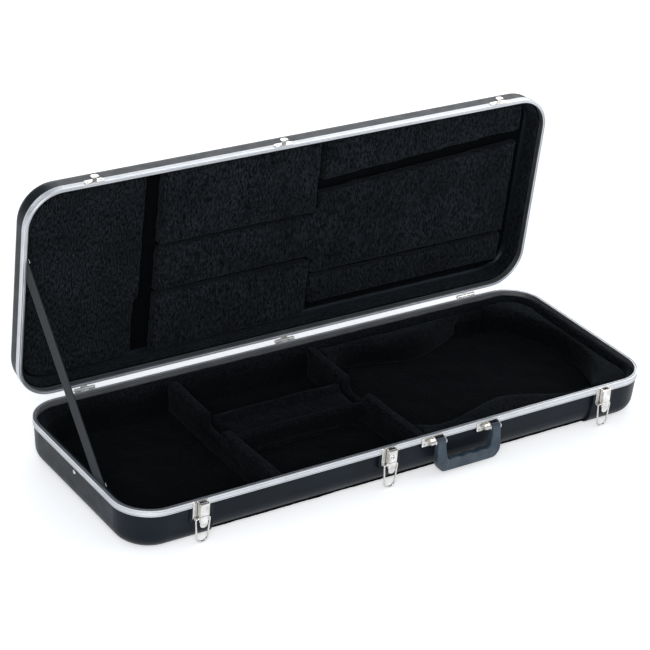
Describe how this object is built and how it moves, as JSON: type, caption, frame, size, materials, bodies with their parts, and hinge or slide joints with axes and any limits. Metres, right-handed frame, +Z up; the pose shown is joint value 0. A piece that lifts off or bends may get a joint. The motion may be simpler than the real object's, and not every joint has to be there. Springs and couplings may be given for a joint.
{
  "type": "guitar case",
  "caption": "Rectangular hard case for an electric guitar, open, with plush-lined compartments, a metal rim, draw latches, a handle and a lid stay strap.",
  "frame": {"origin": "centre of the base's underside, on the surface the case stands on", "axes": "+X along the case towards the body end, -Y towards the latches and handle, +Y towards the hinges, +Z up"},
  "size_m": [1.018, 0.4491, 0.4651],
  "materials": {
    "shell": "satin, finely grained",
    "valance": "bright extruded",
    "nickel": "nickel plated",
    "steel": "plain",
    "grip": "satin",
    "plush": "short pile over foam",
    "webbing": "woven"
  },
  "bodies": {
    "base": {"base_back_wall_pad": "plush", "base_floor_pad": "plush", "base_front_wall_pad": "plush", "base_left_wall_pad": "plush", "base_right_wall_pad": "plush", "base_shell": "shell", "base_valance": "valance", "body_divider": "plush", "body_pad_back": "plush", "body_pad_end": "plush", "body_pad_front": "plush", "end_rivets": "nickel", "handle_bracket_left": "nickel", "handle_bracket_right": "nickel", "handle_pins": "steel", "handle_rivets": "nickel", "head_divider": "plush", "hinge_base_rivets": "nickel", "hinge_centre_base_leaf": "nickel", "hinge_left_base_leaf": "nickel", "hinge_pins": "steel", "hinge_right_base_leaf": "nickel", "latch_centre_housing": "nickel", "latch_left_housing": "nickel", "latch_pins": "steel", "latch_right_housing": "nickel", "latch_rivets": "nickel", "neck_rest": "plush", "stay_strap": "webbing", "strap_base_plate": "nickel", "strap_base_screw": "steel"},
    "lid": {"catch_centre": "nickel", "catch_left": "nickel", "catch_right": "nickel", "catch_rivets": "nickel", "hinge_centre_lid_leaf": "nickel", "hinge_left_lid_leaf": "nickel", "hinge_lid_rivets": "nickel", "hinge_right_lid_leaf": "nickel", "lid_body_block_back": "plush", "lid_body_block_front": "plush", "lid_centre_panel": "plush", "lid_head_panel": "plush", "lid_neck_block_back": "plush", "lid_neck_block_front": "plush", "lid_shell": "shell", "lid_top_pad": "plush", "lid_valance": "valance", "lid_wall_pad": "plush", "strap_lid_plate": "nickel", "strap_lid_screw": "steel"},
    "lever_left": {"latch_left_lever": "nickel"},
    "lever_centre": {"latch_centre_lever": "nickel"},
    "lever_right": {"latch_right_lever": "nickel"},
    "bail_left": {"latch_left_bail": "nickel"},
    "bail_centre": {"latch_centre_bail": "nickel"},
    "bail_right": {"latch_right_bail": "nickel"},
    "handle": {"handle_grip": "grip"},
    "lock_plug": {"lock_plug": "nickel"}
  },
  "joints": [
    {"name": "lid_hinge", "type": "hinge", "parent": "base", "child": "lid", "pos_m": [0, 0.1938, 0.0753], "axis": [-1, 0, 0], "range_deg": [-85.7, 0], "deforming": ["stay_strap"]},
    {"name": "lever_left_lift", "type": "hinge", "parent": "base", "child": "lever_left", "pos_m": [-0.388, -0.1926, 0.0705], "axis": [-1, 0, 0], "range_deg": [0, 100]},
    {"name": "lever_centre_lift", "type": "hinge", "parent": "base", "child": "lever_centre", "pos_m": [-0.04, -0.1926, 0.0705], "axis": [-1, 0, 0], "range_deg": [0, 100]},
    {"name": "lever_right_lift", "type": "hinge", "parent": "base", "child": "lever_right", "pos_m": [0.4, -0.1926, 0.0705], "axis": [-1, 0, 0], "range_deg": [0, 100]},
    {"name": "bail_left_swing", "type": "hinge", "parent": "lever_left", "child": "bail_left", "pos_m": [-0.388, -0.193, 0.0445], "axis": [1, 0, 0], "range_deg": [-180, 0]},
    {"name": "bail_centre_swing", "type": "hinge", "parent": "lever_centre", "child": "bail_centre", "pos_m": [-0.04, -0.193, 0.0445], "axis": [1, 0, 0], "range_deg": [-180, 0]},
    {"name": "bail_right_swing", "type": "hinge", "parent": "lever_right", "child": "bail_right", "pos_m": [0.4, -0.193, 0.0445], "axis": [1, 0, 0], "range_deg": [-180, 0]},
    {"name": "handle_swing", "type": "hinge", "parent": "base", "child": "handle", "pos_m": [0.1085, -0.1965, 0.064], "axis": [-1, 0, 0], "range_deg": [0, 92]},
    {"name": "lock_turn", "type": "hinge", "parent": "lever_centre", "child": "lock_plug", "pos_m": [-0.04, -0.197, 0.0605], "axis": [0, 1, 0], "range_deg": [0, 90]}
  ]
}
